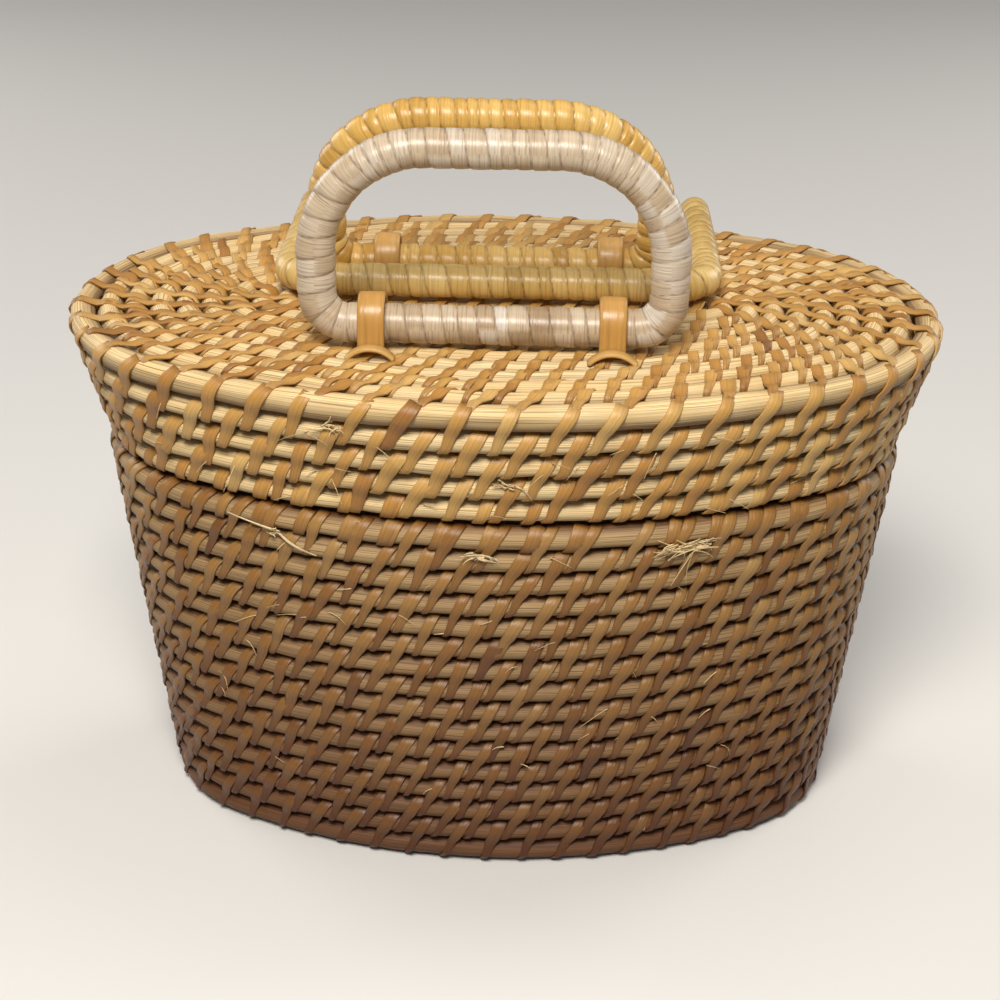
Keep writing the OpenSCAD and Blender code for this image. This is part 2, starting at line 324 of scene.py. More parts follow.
def fibre_material(name, stops, dark, roughness, grain, streak=0.35, blotch=0.25, coat=0.0, plain=False):
    """Cane: colour by the piece's tone, streaks along its grain, darker where its per-vertex darkening
    value is high; that value holds aged cane and painted shade.

    A plain solid of the frame has no UVs or tone, so its grain runs level and its tone is a middle one.
    """
    n = Nodes(name)
    uv = n.add("ShaderNodeTexCoord").outputs["UV"]
    where = n.add("ShaderNodeTexCoord").outputs["Object"]
    fine = n.noise(n.stretched(where if plain else uv, grain), 1.0, 4.0)
    broad = n.noise(where, 55.0, 3.0)
    middle = 0.6 if plain else n.value("tone")
    tone = n.math("ADD", middle, n.math("MULTIPLY", n.math("SUBTRACT", broad, 0.5), blotch))
    colour = n.ramp(tone, stops)
    colour = n.mix("MULTIPLY", streak, colour, n.ramp(fine, STREAKS))
    # Darkening from each vertex's value: aged cane and painted shade
    colour = n.mix("MULTIPLY", n.value("age"), colour, dark)
    n.link(colour, n.shader.inputs["Base Color"])
    rough = n.math("ADD", n.math("MULTIPLY", fine, 0.25), roughness - 0.12)
    n.link(rough, n.shader.inputs["Roughness"])
    n.shader.inputs["Specular IOR Level"].default_value = 0.45
    n.shader.inputs["Coat Weight"].default_value = coat
    n.shader.inputs["Coat Roughness"].default_value = 0.3
    n.bump(fine, 0.5, 0.0006)
    return n.material


# Colours, as stops of a ramp from a dark tone to a pale one
# Dark colour multiplied in for aged cane and for painted shade
AGED_AND_SHADED = (0.17, 0.085, 0.045)
STREAKS = [(0.32, (0.34, 0.26, 0.18)), (0.50, (0.95, 0.94, 0.92)), (0.70, (1.25, 1.20, 1.10))]
STRAW = [(0.0, (0.48, 0.30, 0.11)), (0.35, (0.66, 0.46, 0.20)),
         (0.7, (0.78, 0.58, 0.29)), (1.0, (0.84, 0.69, 0.42))]
PEEL = [(0.0, (0.30, 0.13, 0.03)), (0.3, (0.48, 0.24, 0.055)),
        (0.6, (0.60, 0.35, 0.10)), (1.0, (0.72, 0.50, 0.20))]
WHITE = [(0.0, (0.30, 0.20, 0.11)), (0.4, (0.47, 0.36, 0.24)),
         (0.75, (0.55, 0.45, 0.33)), (1.0, (0.60, 0.53, 0.44))]
GOLD = [(0.0, (0.40, 0.21, 0.035)), (0.5, (0.60, 0.36, 0.085)), (1.0, (0.70, 0.48, 0.16))]
OLIVE = [(0.0, (0.40, 0.25, 0.065)), (0.5, (0.57, 0.38, 0.115)), (1.0, (0.68, 0.49, 0.19))]
STRAP = [(0.0, (0.36, 0.17, 0.035)), (0.5, (0.50, 0.27, 0.070)), (1.0, (0.60, 0.38, 0.13))]
TAWNY = [(0.0, (0.30, 0.17, 0.06)), (0.5, (0.48, 0.30, 0.12)), (1.0, (0.60, 0.42, 0.20))]

# Grain runs along U on coils and stitches, and round the tube, along V, on wrapped handles
straw = fibre_material("straw_coil", STRAW, AGED_AND_SHADED, 0.58, (16, 2300, 1), 0.95, 0.45)
peel = fibre_material("stitch_peel", PEEL, AGED_AND_SHADED, 0.42, (40, 1900, 1), 0.50, 0.30)
white_wrap = fibre_material("white_peel_wrap", WHITE, AGED_AND_SHADED, 0.34, (1300, 25, 1), 0.55, 0.45, 0.25)
gold_wrap = fibre_material("gold_peel_wrap", GOLD, AGED_AND_SHADED, 0.34, (1300, 25, 1), 0.35, 0.30, 0.25)
olive_wrap = fibre_material("olive_peel_wrap", OLIVE, AGED_AND_SHADED, 0.34, (1300, 25, 1), 0.40, 0.30, 0.25)
strap_peel = fibre_material("strap_peel", STRAP, AGED_AND_SHADED, 0.36, (30, 1200, 1), 0.35, 0.20, 0.15)
cane = fibre_material("cane", TAWNY, AGED_AND_SHADED, 0.55, (14, 14, 900), 0.70, 0.50, plain=True)


# Coils


def coil_section(count):
    """Outline of a coil: round outside, flatter on the basket's inside."""
    turns = np.linspace(0, 2 * math.pi, count, endpoint=False)
    out, up = np.cos(turns), np.sin(turns)
    return np.where(out < 0, COIL_FLAT * out, out), np.where(out < 0.1, 0.92 * up, 0.80 * up)


def age_and_shade_at(z):
    """How dark the cane is painted: little on the lid, more on the basket and most at its foot; partly
    aged cane and partly painted shade from the light above.
    """
    if z > body_high[2]:
        return 0.05
    return 0.52 + 0.46 * (1 - z / body_high[2])


def coil_row(build, r, z, out_axis, seed, steps=LONG_STEPS, around=16):
    """One closed row of coil. out_axis is the direction of its round side in the profile."""
    noise = chaos(seed)
    out, up = coil_section(around)
    ox, oz = out_axis
    section_r = COIL_R * (ox * out - oz * up)
    section_z = COIL_R * (oz * out + ox * up)
    length = oval_length(max(r, 0.004))
    waves = [(noise.uniform(0.00004, 0.00016), noise.randint(3, 40), noise.uniform(0, 6.28))
             for _ in range(6)]
    rings = np.empty((steps, around, 3))
    for i in range(steps):
        angle = oval_angle(r, length * i / steps)
        swell = sum(a * math.sin(k * 2 * math.pi * i / steps + p) for a, k, p in waves)
        for j in range(around):
            scale = 1 + swell / COIL_R
            rings[i, j] = oval_point(r + section_r[j] * scale, angle, z + section_z[j] * scale)
    rings[:, :, 2] = np.maximum(rings[:, :, 2], 0.0)
    tones = (0.76 if z > body_high[2] else 0.62) + noise.uniform(-0.08, 0.08)
    # Painted shade: the coil is darker in the valleys where it meets the rows beside it
    valley_shade = np.abs(up / up.max()) ** 3
    ages_and_shade = np.minimum(1.0, age_and_shade_at(z) + 0.75 * valley_shade)[None, :]
    build.grid(rings, tones, ages_and_shade, close_u=True, u_len=length, v_len=2 * math.pi * COIL_R)


def wall_centre(i):
    t = i / (WALL_ROWS - 1)
    return np.array([FOOT_R + (JOINT_R - FOOT_R) * t, COIL_R + i * COIL_PITCH])


def lid_centre(i):
    """Rows of the lid from its lowest up its side to the edge, then inward over its top."""
    if i < LID_ROWS:
        t = i / (LID_ROWS - 1)
        return np.array([JOINT_R + (EDGE_R - JOINT_R) * t, LID_LOW_Z + i * LID_PITCH])
    return np.array([EDGE_R - (i - LID_ROWS + 1) * COIL_PITCH, EDGE_Z])


TOP_ROWS = math.floor((EDGE_R - COIL_R) / COIL_PITCH)
LID_ALL = LID_ROWS + TOP_ROWS
FLOOR_ROWS = math.floor((FOOT_R - COIL_R) / COIL_PITCH)
LID_MIDDLE_R = EDGE_R - TOP_ROWS * COIL_PITCH
FLOOR_MIDDLE_R = FOOT_R - FLOOR_ROWS * COIL_PITCH
LENS_PITCH = 0.96 * COIL_PITCH


def lens_half(r, y):
    """Half length of a straight line at y inside the oval of end radius r."""
    reach = (r + SIDE_EXTRA) ** 2 - (abs(y) + SIDE_CENTRE) ** 2
    return min(END_CENTRE + r, math.sqrt(max(reach, 0.0)))


def lens_rows(build, r, z, flat_up, seed):
    """Straight coils on a closed web inside the innermost round row, where an oval's winding starts."""
    noise = chaos(seed)
    out, up = coil_section(14)
    for k in range(-2, 3):
        y = k * LENS_PITCH
        half = lens_half(r - 0.5 * COIL_R, abs(y) + 0.3 * COIL_R)
        xs = np.linspace(-half, half, 60)
        rings = np.empty((60, 14, 3))
        for i, x in enumerate(xs):
            end = min(1.0, 6 * (1 - abs(x) / half) + 0.15)
            rings[i, :, 0] = x
            rings[i, :, 1] = y + COIL_R * up * end
            rings[i, :, 2] = z + COIL_R * out * end * flat_up
        tone = 0.55 + noise.uniform(-0.1, 0.1)
        build.grid(rings, tone, age_and_shade_at(z), caps=True, u_len=2 * half, v_len=0.035)
    turns = np.linspace(0, 2 * math.pi, 96, endpoint=False)
    edge = np.array([oval_point(r, angle, z) for angle in turns])
    spine = edge * np.array([1.0, 0.0, 1.0])
    rise = np.array([0.0, 0.0, 0.25 * COIL_R])
    web = np.stack([spine + rise, edge + rise, edge - rise, spine - rise], 1)
    # Painted shade: the web, sunk between the straight coils, gets a low tone and extra darkening
    age = min(1.0, age_and_shade_at(z) + 0.5)
    build.grid(web, 0.4, age, close_u=True, close_v=False, u_len=0.4, v_len=0.1)


def make_basket_coils():
    build = Build()
    for i in range(WALL_ROWS):
        r, z = wall_centre(i)
        coil_row(build, r, z, (1.0, 0.0), 100 + i)
    for i in range(1, FLOOR_ROWS + 1):
        coil_row(build, FOOT_R - i * COIL_PITCH, COIL_R, (0.0, -1.0), 140 + i, SHORT_STEPS, 12)
    lens_rows(build, FLOOR_MIDDLE_R, COIL_R, -1, 160)
    return build.piece("basket_coils", straw, "base", ["basket_body"])


def make_lid_coils():
    build = Build()
    for i in range(LID_ALL):
        r, z = lid_centre(i)
        axis = (1.0, 0.0) if i < LID_ROWS - 1 else (0.0, 1.0)
        if i == LID_ROWS - 1:
            axis = (math.sqrt(0.5), math.sqrt(0.5))
        coil_row(build, r, z, axis, 200 + i, LONG_STEPS if i < LID_ROWS + 3 else SHORT_STEPS)
    lens_rows(build, LID_MIDDLE_R, EDGE_Z, 1, 230)
    return build.piece("lid_coils", straw, "lid", ["lid"])


# Stitches


def smooth(points, count):
    """Catmull-Rom curve through points, resampled to count points."""
    pts = np.vstack([2 * points[0] - points[1], points, 2 * points[-1] - points[-2]])
    spans = len(points) - 1
    out = []
    for t in np.linspace(0, spans, count):
        i = min(int(t), spans - 1)
        f = t - i
        a, b, c, d = pts[i : i + 4]
        square = (2 * a - 5 * b + 4 * c - d) * f * f
        cube = (3 * b - a - 3 * c + d) * f**3
        out.append(0.5 * (2 * b + (c - a) * f + square + cube))
    return np.array(out)


def across_two(a, b, lift):
    """Profile of a stitch that comes out of the row at a and goes over the row at b."""
    along = (b - a) / np.linalg.norm(b - a)
    out = np.array([along[1], -along[0]])
    reach = COIL_R + lift

    def about(centre, degrees):
        turn = math.radians(degrees)
        return centre + reach * (math.cos(turn) * out + math.sin(turn) * along)

    dive = -0.0016 * out
    return np.array([about(a, -46) + dive, about(a, -20), about(a, 8),
                     (a + b) / 2 + (reach - 0.0011) * out,
                     about(b, -14), about(b, 20), about(b, 48), about(b, 70) + dive])


def over_one(a, out, lift):
    """Profile of a short wrap over one row."""
    along = np.array([-out[1], out[0]])
    reach = COIL_R + lift
    turns = [math.radians(d) for d in (-72, -45, -15, 15, 45, 72)]
    return np.array([a + reach * (math.cos(t) * out + math.sin(t) * along) for t in turns])


STRIP_OUTLINE = np.array([(-0.5, -0.4), (-0.5, 0.65), (-0.45, 0.90), (0.0, 1.0),
                          (0.45, 0.90), (0.5, 0.65), (0.5, -0.4)])


def strip(build, profile, r, length, slant, width, tone, age, point, count=12, thickness=STITCH_T):
    """One flat strip on the oval: profile points (r, z), shifted along the row by its slant.

    point is the share of its width that is left at its lower end.
    """
    path2 = smooth(profile, count)
    climb = np.linspace(-0.5, 0.5, count) * np.linalg.norm(profile[-1] - profile[0])
    centre = []
    for (pr, pz), c in zip(path2, climb):
        angle = oval_angle(r, (length + slant * c) % oval_length(r))
        centre.append(oval_point(pr, angle, pz))
    centre = np.array(centre)
    ahead = np.gradient(centre, axis=0)
    ahead /= np.linalg.norm(ahead, axis=1)[:, None]
    middle = oval_angle(r, length % oval_length(r))
    side = np.array([-math.sin(middle), math.cos(middle), 0.0])
    across = side - (ahead @ side)[:, None] * ahead
    across /= np.linalg.norm(across, axis=1)[:, None]
    up = np.cross(across, ahead)
    along = np.linspace(0, 1, count)
    taper = point + (1 - point) * np.minimum(1.0, along / 0.55)
    # Painted shade: both ends of the strip are darker where it dives into the gaps between coils
    ages_and_shade = np.minimum(1.0, age + 0.45 * (1 - along) ** 2 + 0.45 * along**10)[:, None]
    rings = np.empty((count, len(STRIP_OUTLINE), 3))
    for k, (x, h) in enumerate(STRIP_OUTLINE):
        rings[:, k] = centre + across * (x * width * taper)[:, None] + up * (h - 0.5) * thickness
    build.grid(rings, tone, ages_and_shade, caps=True, u_len=0.02, v_len=2 * width)


def stitch_level(build, a, b, level, seed, size, point, count=STITCHES):
    """Stitches round the whole oval across two neighbouring rows."""
    noise = chaos(seed)
    r = float((a[0] + b[0]) / 2)
    total = oval_length(r)
    z = float((a[1] + b[1]) / 2)
    for i in range(count):
        jitter = noise.uniform(-0.10, 0.10)
        place = (i + STITCH_STEP * level + jitter) * total / count
        slant = STITCH_SLANT * noise.uniform(0.75, 1.25)
        width = size * noise.uniform(0.82, 1.12)
        tone = stitch_tone(noise)
        lift = STITCH_T * noise.uniform(0.35, 0.65)
        profile = across_two(a, b, lift)
        strip(build, profile, r, place % total, slant, width, tone, 0.85 * age_and_shade_at(z), point)


def rim_wraps(build, a, out, level, seed):
    """Short wraps round one rim row, between the long stitches."""
    noise = chaos(seed)
    r = float(a[0])
    total = oval_length(r)
    profile = over_one(a, out, STITCH_T * 0.3)
    for i in range(STITCHES):
        place = (i + STITCH_STEP * level + noise.uniform(0.45, 0.6)) * total / STITCHES
        if noise.random() < 0.12:
            continue
        width = STITCH_W * noise.uniform(0.8, 1.25)
        tone = stitch_tone(noise, 0.42, 0.14)
        strip(build, profile, r, place % total, 0.5, width, tone, 0.85 * age_and_shade_at(a[1]), 0.8, 9)


def inner_level(build, a, b, level, seed, inward):
    """Backs of the stitches, on the hollow side of two neighbouring rows."""
    noise = chaos(seed)
    r = float((a[0] + b[0]) / 2)
    total = oval_length(r)
    count = min(STITCHES, round(total / TOP_SPACING))
    along = (b - a) / np.linalg.norm(b - a)
    depth = COIL_FLAT * COIL_R + 0.4 * STITCH_T
    first = b + (0.5 * COIL_R * along - 0.0014 * inward)
    last = a - 0.5 * COIL_R * along - 0.0014 * inward
    profile = np.array([first, b, (a + b) / 2 - 0.0006 * inward, a, last]) + depth * inward
    age = 0.6 * age_and_shade_at(float(a[1]))
    for i in range(count):
        place = (i + STITCH_STEP * level + noise.uniform(-0.1, 0.1)) * total / count
        tone = stitch_tone(noise)
        width = 0.85 * STITCH_W * noise.uniform(0.85, 1.1)
        strip(build, profile, r, place % total, -STITCH_SLANT, width, tone, age, 0.85, 7)


def lens_stitches(build, r, z, rise, seed):
    """Stitches across the straight coils of the lid or floor, on the side that rise points to."""
    noise = chaos(seed)
    up = math.copysign(1.0, rise)
    crest = z + rise + 0.0003 * up
    for k in range(-2, 2):
        y0, y1 = k * LENS_PITCH, (k + 1) * LENS_PITCH
        half = min(lens_half(r, y0), lens_half(r, y1)) - 0.010
        for place in np.arange(-half, half, 0.0125):
            x = place + noise.uniform(-0.0012, 0.0012) + 0.004 * (k % 3)
            path = [(x - 0.0025, y0 - 0.3 * LENS_PITCH, crest - 0.0018 * up), (x - 0.0012, y0, crest),
                    (x, (y0 + y1) / 2, crest - 0.0007 * up), (x + 0.0012, y1, crest),
                    (x + 0.0025, y1 + 0.3 * LENS_PITCH, crest - 0.0018 * up)]
            tone = stitch_tone(noise)
            curve = smooth(np.array(path), 9)
            band(build, curve, (up, 0, 0), 0.85 * STITCH_W, STITCH_T, tone, 0.6 * age_and_shade_at(z))


def make_basket_stitches():
    build = Build()
    for i in range(WALL_ROWS - 1):
        stitch_level(build, wall_centre(i), wall_centre(i + 1), -i, 300 + i, 0.88 * STITCH_W, 0.30)
    rim_wraps(build, wall_centre(WALL_ROWS - 1), np.array([1.0, 0.0]), -WALL_ROWS, 330)
    build.piece("basket_stitches", peel, "base", ["body_stitches"])
    build = Build()
    for i in range(WALL_ROWS - 1):
        a, b = wall_centre(i), wall_centre(i + 1)
        along = (b - a) / np.linalg.norm(b - a)
        inner_level(build, a, b, -i, 340 + i, np.array([-along[1], along[0]]))
    for i in range(FLOOR_ROWS):
        a = np.array([FOOT_R - i * COIL_PITCH, COIL_R])
        inner_level(build, a - np.array([COIL_PITCH, 0.0]), a, i, 360 + i, np.array([0.0, 1.0]))
    lens_stitches(build, FLOOR_MIDDLE_R, COIL_R, COIL_FLAT * COIL_R, 432)
    build.piece("basket_inner_stitches", peel, "base")


def make_lid_stitches():
    build = Build()
    rim_wraps(build, lid_centre(0), np.array([1.0, 0.0]), -WALL_ROWS, 400)
    for i in range(LID_ALL - 1):
        a, b = lid_centre(i), lid_centre(i + 1)
        if i < LID_ROWS:
            stitch_level(build, a, b, -(WALL_ROWS + i), 410 + i, STITCH_W, 0.55)
        else:
            count = round(oval_length(float(b[0])) / TOP_SPACING)
            stitch_level(build, a, b, -(WALL_ROWS + i), 410 + i, 0.82 * STITCH_W, 0.6, count)
    lens_stitches(build, LID_MIDDLE_R, EDGE_Z, COIL_R, 430)
    build.piece("lid_stitches_peel", peel, "lid", ["lid_stitches"])
    build = Build()
    for i in range(LID_ALL - 1):
        a, b = lid_centre(i), lid_centre(i + 1)
        along = (b - a) / np.linalg.norm(b - a)
        inner_level(build, a, b, -(WALL_ROWS + i), 440 + i, np.array([-along[1], along[0]]))
    lens_stitches(build, LID_MIDDLE_R, EDGE_Z, -COIL_FLAT * COIL_R, 431)
    build.piece("lid_inner_stitches", peel, "lid")


# Wrapped handles


def rounded_loop(corners, bends, step):
    """Closed path through corners with round bends, sampled about every step."""
    n = len(corners)
    points = []
    for i in range(n):
        p, q, s = corners[i - 1], corners[i], corners[(i + 1) % n]
        to_p = (p - q) / np.linalg.norm(p - q)
        to_s = (s - q) / np.linalg.norm(s - q)
        half = math.acos(np.clip(to_p @ to_s, -1, 1)) / 2
        cut = bends[i] / math.tan(half)
        start = q + to_p * cut
        centre = q + (to_p + to_s) / np.linalg.norm(to_p + to_s) * bends[i] / math.sin(half)
        x_axis = (start - centre) / bends[i]
        y_axis = -to_p
        sweep = math.pi - 2 * half
        for t in np.linspace(0, sweep, max(6, int(bends[i] * sweep / step))):
            points.append(centre + bends[i] * (math.cos(t) * x_axis + math.sin(t) * y_axis))
    points = np.array(points + [points[0]])
    gaps = np.linalg.norm(np.diff(points, axis=0), axis=1)
    far = np.concatenate([[0], np.cumsum(gaps)])
    count = int(far[-1] / step)
    places = np.arange(count) * far[-1] / count
    return np.stack([np.interp(places, far, points[:, k]) for k in range(3)], 1), far[-1]


def wrapped_tube(path, length, radius, turn_w, dome_h, seed, tone_mid, tone_spread, start_normal,
                 around=26):
    """Tube wound with a flat strip: each turn is a band, domed across, its edges sunk and painted darker
    as shade in the seams between turns.
    """
    noise = chaos(seed)
    n = len(path)
    ahead = np.roll(path, -1, axis=0) - np.roll(path, 1, axis=0)
    ahead /= np.linalg.norm(ahead, axis=1)[:, None]
    normals = np.empty_like(path)
    normal = np.array(start_normal, float)
    for i in range(n):
        normal = normal - (normal @ ahead[i]) * ahead[i]
        normal /= np.linalg.norm(normal)
        normals[i] = normal
    side = np.cross(ahead, normals)
    turns = max(8, round(length / turn_w))
    widths = np.array([noise.uniform(0.65, 1.4) for _ in range(turns)])
    edges = np.concatenate([[0], np.cumsum(widths)]) / widths.sum()
    number = np.interp(np.arange(n) / n, edges, np.arange(turns + 1))
    band_tone = np.clip([noise.gauss(tone_mid, tone_spread) for _ in range(turns + 2)], 0, 1)
    band_rise = np.array([noise.uniform(-0.00022, 0.00012) for _ in range(turns + 2)])
    theta = np.linspace(0, 2 * math.pi, around, endpoint=False)
    winding = number[:, None] - theta[None, :] / (2 * math.pi)
    turn = np.floor(winding)
    part = winding - turn
    index = np.mod(turn.astype(int), turns)
    dome = 1 - np.abs(2 * part - 1) ** 3.5
    # Painted shade: each turn's edges are darkened along the seams between turns
    edge = np.abs(2 * part - 1) ** 14
    reach = radius - dome_h - 0.0003 + dome_h * dome + 0.0002 * part + band_rise[index]
    cosines, sines = np.cos(theta)[None, :, None], np.sin(theta)[None, :, None]
    ring = normals[:, None, :] * cosines + side[:, None, :] * sines
    rings = path[:, None, :] + reach[:, :, None] * ring
    return rings, band_tone[index], 0.75 * edge


def make_wrapped(name, corners, bends, radius, turn, seed, tone, normal, material, body, node,
                 fix=None):
    """Wrapped loop that stands for a node: turn is a turn's width and rise, tone its mean and spread."""
    path, length = rounded_loop(corners, bends, WRAP_STEP)
    if fix is not None:
        path = np.array([fix @ Vector(p) for p in path])
        normal = fix.to_3x3() @ Vector(normal)
    rings, tones, ages_and_shade = wrapped_tube(path, length, radius, *turn, seed, *tone, normal)
    build = Build()
    build.grid(rings, tones, ages_and_shade, close_u=True, u_len=length, v_len=2 * math.pi * radius)
    return build.piece(name, material, body, [node])


def make_handles():
    wrap_low, wrap_high = node_box("front_handle_wrap")
    radius = (wrap_high[1] - wrap_low[1]) / 2
    middle = (wrap_high[0] + wrap_low[0]) / 2
    half = (wrap_high[0] - wrap_low[0]) / 2 - radius
    corners = np.array([[half, 0, 0], [half, 0, RING_H], [-half, 0, RING_H], [-half, 0, 0]])
    bends = [RING_LOW_BEND, RING_TOP_BEND, RING_TOP_BEND, RING_LOW_BEND]
    front = Matrix.Translation((middle, front_bar[1], front_bar[2]))
    rear_low, rear_high = node_box("rear_handle_wrap")
    rear_middle = (rear_low[0] + rear_high[0]) / 2
    rear = Matrix.Translation((rear_middle, rear_bar[1], rear_bar[2]))
    rear = rear @ Matrix.Rotation(REAR_LEAN, 4, "X")
    make_wrapped("front_ring_wrap", corners, bends, radius, (0.0064, 0.00028), 500, (0.66, 0.24),
                 (0, -1, 0), white_wrap, "front_handle", "front_handle_wrap", front)
    make_wrapped("rear_ring_wrap", corners, bends, radius, (0.0062, 0.0008), 501, (0.55, 0.16),
                 (0, -1, 0), gold_wrap, "rear_handle", "rear_handle_wrap", rear)
    bail_low, bail_high = node_box("bail_wrap")
    radius = hinge_bar[2] - bail_low[2]
    bail_half = (bail_high[0] - bail_low[0]) / 2 - radius
    grip_y, back_y = bail_low[1] + radius, bail_high[1] - radius
    top_z, low_z = bail_high[2] - radius, hinge_bar[2]
    corners = np.array([[middle - bail_half, back_y, low_z], [middle + bail_half, back_y, low_z],
                        [middle + bail_half, back_y, top_z], [middle + bail_half, grip_y, top_z],
                        [middle - bail_half, grip_y, top_z], [middle - bail_half, back_y, top_z]])
    bends = [BAIL_BEND, BAIL_BEND, BAIL_DROP_BEND, BAIL_BEND, BAIL_BEND, BAIL_DROP_BEND]
    make_wrapped("bail_peel_wrap", corners, bends, radius, (0.0068, 0.0005), 502, (0.60, 0.16),
                 (0, 1, 0), olive_wrap, "lid", "bail_wrap")


# Straps and staples


def make_strap(node, body, legs_along):
    """Strap of a CAD node: a half turn round its bar, and two legs in the direction legs_along."""
    low, high = node_box(node)
    middle = (low + high) / 2
    width = high[0] - low[0]
    legs = np.array(legs_along, float)
    cross = np.cross((1.0, 0, 0), legs)
    span = np.abs(high - low) @ np.abs(cross)
    reach = span / 2 - STRAP_T / 2
    size = np.abs(high - low) @ np.abs(legs)
    bar = middle - legs * (size / 2 - span / 2)
    leg = size - span / 2
    path = [bar + legs * t + cross * reach for t in np.linspace(leg, 0, 9)[:-1]]
    half_turn = np.linspace(0, math.pi, 33)
    path += [bar + reach * (cross * math.cos(t) - legs * math.sin(t)) for t in half_turn]
    path += [bar + legs * t - cross * reach for t in np.linspace(0, leg, 9)[1:]]
    build = Build()
    noise = chaos(sum(ord(c) for c in node))
    band(build, path[::-1], (1.0, 0, 0), width, STRAP_T, noise.uniform(0.45, 0.75), 0.0)
    build.piece(node + "_peel", strap_peel, body, [node])


def make_staple(node):
    low, high = node_box(node)
    middle = (low + high) / 2
    half, rise = (high[0] - low[0]) / 2, high[2] - low[2]
    outer = (half**2 + rise**2) / (2 * rise) - STRAP_T / 2
    sweep = math.asin(min(1.0, (half - 0.0004) / outer))
    centre = np.array([middle[0], middle[1], high[2] - STRAP_T / 2 - outer])
    turns = np.linspace(-sweep, sweep, 25)
    path = [centre + outer * np.array([math.sin(t), 0, math.cos(t)]) for t in turns]
    build = Build()
    band(build, path, (0, -1.0, 0), high[1] - low[1], STRAP_T, 0.8, 0.0)
    build.piece(node + "_peel", strap_peel, "lid", [node])


def make_fittings():
    for side in ("left", "right"):
        for row in ("front", "rear"):
            make_strap(f"{row}_strap_{side}", "lid", (0, 0, -1))
            make_staple(f"{row}_staple_{side}")
        make_strap(f"bail_strap_{side}", "base", (0, -1, 0))


# Loose and broken fibres


def fibre(build, start, ahead, bend, length, radius, tone, age=0.0, count=12):
    """One loose fibre: a thin curved tube that thins towards its tip."""
    ahead = np.array(ahead) / np.linalg.norm(ahead)
    t = np.linspace(0, 1, count)[:, None]
    path = start + ahead * t * length + np.array(bend) * t * t * length
    side = np.cross(ahead, (0.3, 0.2, 1.0))
    side /= np.linalg.norm(side)
    up = np.cross(side, ahead)
    thin = radius * (1 - 0.6 * t)
    rings = np.stack([path + thin * (side * math.cos(a) + up * math.sin(a)) for a in (0.3, 2.4, 4.5)], 1)
    build.grid(rings, tone, age, caps=True, u_len=length, v_len=0.002)


def on_wall(x, row):
    """Point on the crest of a basket row at x on the front, with its outward and sideways directions."""
    r, z = wall_centre(row)
    angle = front_angle(r + COIL_R, x)
    point = oval_point(r + COIL_R + STITCH_T, angle, z)
    return point, outward(angle), sideways(angle)


def tuft(build, noise, x, row, count, length, tone, spread=0.010, climb=(-0.6, 0.3)):
    """Broken fibres that stand out of one spot, within a range of steepness."""
    for _ in range(count):
        point, out, side = on_wall(x + noise.uniform(-spread, spread), row - noise.uniform(-0.4, 0.6))
        ahead = out * noise.uniform(0.05, 0.35) + side * noise.choice((-1, 1))
        ahead = ahead + upward(noise.uniform(*climb))
        bend = np.array([noise.uniform(-0.4, 0.4), noise.uniform(-0.2, 0.1), noise.uniform(-0.7, 0.1)])
        fibre(build, point - out * 0.001, ahead, bend, length * noise.uniform(0.5, 1.2),
              noise.uniform(0.0002, 0.00042), tone + noise.uniform(-0.15, 0.15))


def splinters(build, noise, centre, x, count, length, spread, tilt, tone):
    """Torn strands that lie nearly side by side along a row on the front, their free ends lifted."""
    r, z = centre
    for _ in range(count):
        angle = front_angle(r, x + noise.uniform(-0.35, 0.35) * length)
        side = noise.choice((-1, 1)) * sideways(angle)
        reach = r + COIL_R + noise.uniform(0.0002, 0.0018)
        start = oval_point(reach, angle, z + noise.uniform(-spread, spread))
        ahead = side + outward(angle) * noise.uniform(0.0, 0.30)
        ahead = ahead + upward(side[0] * tilt + noise.uniform(-0.22, 0.22))
        bend = side * noise.uniform(-0.5, 0.2) + upward(noise.uniform(-0.55, 0.45))
        fibre(build, start, ahead, bend, length * noise.uniform(0.35, 0.75),
              noise.uniform(0.00025, 0.0006), tone + noise.uniform(-0.2, 0.1))


def make_basket_fibres():
    """Frayed spots under the rim, where a second bail was once tied, and stray fibres."""
    noise = chaos(600)
    build = Build()
    split_cane = ((-1, 0.25, 0.15, 0.015), (1, -0.75, 0.25, 0.016), (1, -0.95, 0.30, 0.014))
    for turn, lean, bow, length in split_cane:
        point, out, side = on_wall(-0.080, 14.6)
        ahead = turn * side + out * 0.25 + upward(lean)
        fibre(build, point, ahead, turn * side * 0.3 + upward(bow), length, 0.0007, 1.0)
    splinters(build, noise, wall_centre(14.6), -0.079, 8, 0.006, 0.0015, 0.3, 1.0)
    splinters(build, noise, wall_centre(14.55), 0.068, 40, 0.014, 0.0017, 0.05, 0.95)
    splinters(build, noise, wall_centre(14.5), -0.004, 14, 0.010, 0.0014, -0.15, 1.1)
    tuft(build, noise, 0.074, 14.4, 2, 0.015, 0.85, 0.003, (-1.6, -1.2))
    tuft(build, noise, 0.062, 1.2, 1, 0.008, 1.0, 0.001, (-0.5, -0.3))
    for _ in range(34):
        tuft(build, noise, noise.uniform(-0.115, 0.115), noise.uniform(3, 15), 1, 0.007, 0.75, 0.0)
    build.piece("basket_fibres", straw, "base")


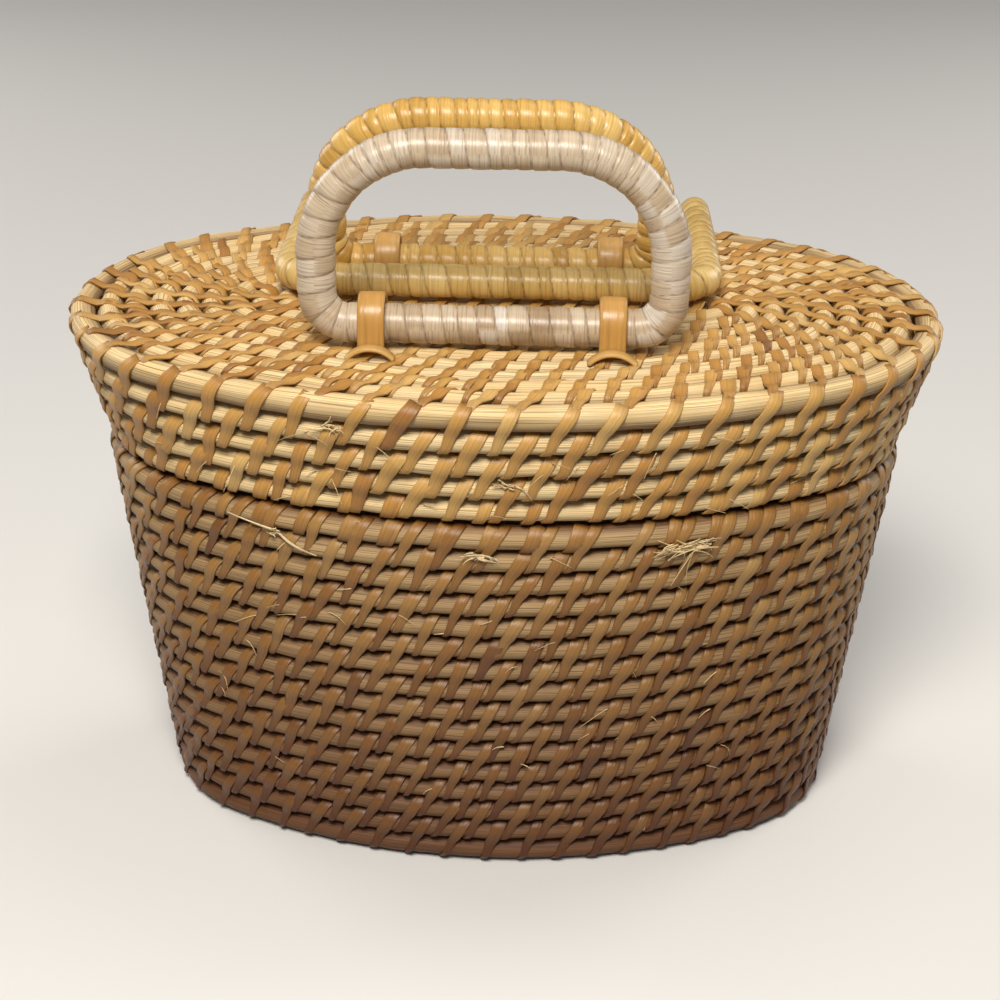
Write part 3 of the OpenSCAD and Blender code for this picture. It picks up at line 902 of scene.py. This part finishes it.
def make_lid_fibres():
    noise = chaos(620)
    build = Build()
    over_row = np.array([0.0, 0.004])
    splinters(build, noise, lid_centre(3) + over_row, -0.056, 12, 0.010, 0.0018, 0.4, 0.95)
    splinters(build, noise, lid_centre(1) + over_row, 0.004, 10, 0.009, 0.0018, -0.4, 0.9)
    for _ in range(26):
        r, z = lid_centre(noise.randint(0, LID_ROWS - 2))
        angle = front_angle(r, noise.uniform(-0.13, 0.13))
        point = oval_point(r + COIL_R, angle, z + noise.uniform(-0.004, 0.004))
        ahead = outward(angle) * noise.uniform(0.1, 0.4) + sideways(angle) * noise.uniform(-1, 1)
        ahead = ahead + upward(noise.uniform(-0.5, 0.3))
        fibre(build, point, ahead, (0, 0, noise.uniform(-0.3, 0.1)), noise.uniform(0.004, 0.012), 0.00022,
              noise.uniform(0.6, 1.0))
    build.piece("lid_fibres", straw, "lid")


def dress_plain_nodes():
    """Cane on the CAD nodes that stay as they are."""
    for node in ("locating_collar", "front_handle_core", "rear_handle_core", "bail_core"):
        materials = bpy.data.objects[node].data.materials
        materials.clear()
        materials.append(cane)


# Camera, floor and light


def make_camera():
    """Camera of the photograph's view: about 25 degrees down, 0.84 m from the basket."""
    elevation, roll, yaw = math.radians(25), math.radians(0.8), math.radians(-1.5)
    distance, focal_share = 0.842, 2.049
    aim = Vector((-0.0008, 0.0, 0.1226))
    level = math.cos(elevation)
    ahead = Vector((math.sin(yaw) * level, math.cos(yaw) * level, -math.sin(elevation)))
    data = bpy.data.cameras.new("camera")
    data.sensor_width = 36.0
    data.sensor_fit = "HORIZONTAL"
    data.lens = data.sensor_width * focal_share
    data.clip_end = 50
    obj = bpy.data.objects.new("camera", data)
    obj.location = aim - ahead * distance
    turn = ahead.to_track_quat("-Z", "Y").to_matrix() @ Matrix.Rotation(roll, 3, "Z")
    obj.rotation_euler = turn.to_euler()
    bpy.context.scene.collection.objects.link(obj)
    bpy.context.scene.camera = obj


def make_floor():
    mesh = bpy.data.meshes.new("floor")
    corners = [(x * FLOOR_HALF, y * FLOOR_HALF, 0) for x, y in ((-1, -1), (1, -1), (1, 1), (-1, 1))]
    mesh.from_pydata(corners, [], [(0, 1, 2, 3)])
    obj = bpy.data.objects.new("floor", mesh)
    n = Nodes("pale_floor")
    rays = n.add("ShaderNodeLightPath")
    seen = n.math("MAXIMUM", rays.outputs["Is Camera Ray"], rays.outputs["Is Glossy Ray"])
    n.link(n.mix("MIX", seen, (0.30, 0.30, 0.30), (0.72, 0.71, 0.69)), n.shader.inputs["Base Color"])
    n.shader.inputs["Roughness"].default_value = 0.8
    mesh.materials.append(n.material)
    bpy.context.scene.collection.objects.link(obj)


def area_light(name, place, aim, size, power, colour):
    data = bpy.data.lights.new(name, "AREA")
    data.size = size
    data.energy = power
    data.color = colour
    obj = bpy.data.objects.new(name, data)
    obj.location = place
    obj.rotation_euler = (Vector(aim) - Vector(place)).to_track_quat("-Z", "Y").to_euler()
    bpy.context.scene.collection.objects.link(obj)


def make_light():
    area_light("key", (-0.1, -0.90, 1.18), (0, 0, 0.15), 0.45, 22, (1.0, 0.95, 0.88))
    area_light("top", (0.3, 0.25, 1.5), (0, 0, 0.15), 0.7, 3, (1.0, 0.95, 0.88))
    area_light("back_left", (-1.5, 1.0, 0.8), (0, 0, 0.10), 0.9, 12, (1.0, 0.96, 0.90))
    area_light("back_right", (1.5, 1.0, 0.8), (0, 0, 0.10), 0.9, 12, (1.0, 0.96, 0.90))
    world = bpy.data.worlds.new("studio")
    world.use_nodes = True
    back = world.node_tree.nodes["Background"]
    back.inputs["Color"].default_value = (0.95, 0.96, 1.0, 1)
    back.inputs["Strength"].default_value = 0.18
    bpy.context.scene.world = world
    bpy.context.scene.view_settings.view_transform = "Standard"


make_camera()
make_floor()
make_light()
make_basket_coils()
make_lid_coils()
make_basket_stitches()
make_lid_stitches()
make_handles()
make_fittings()
make_basket_fibres()
make_lid_fibres()
dress_plain_nodes()
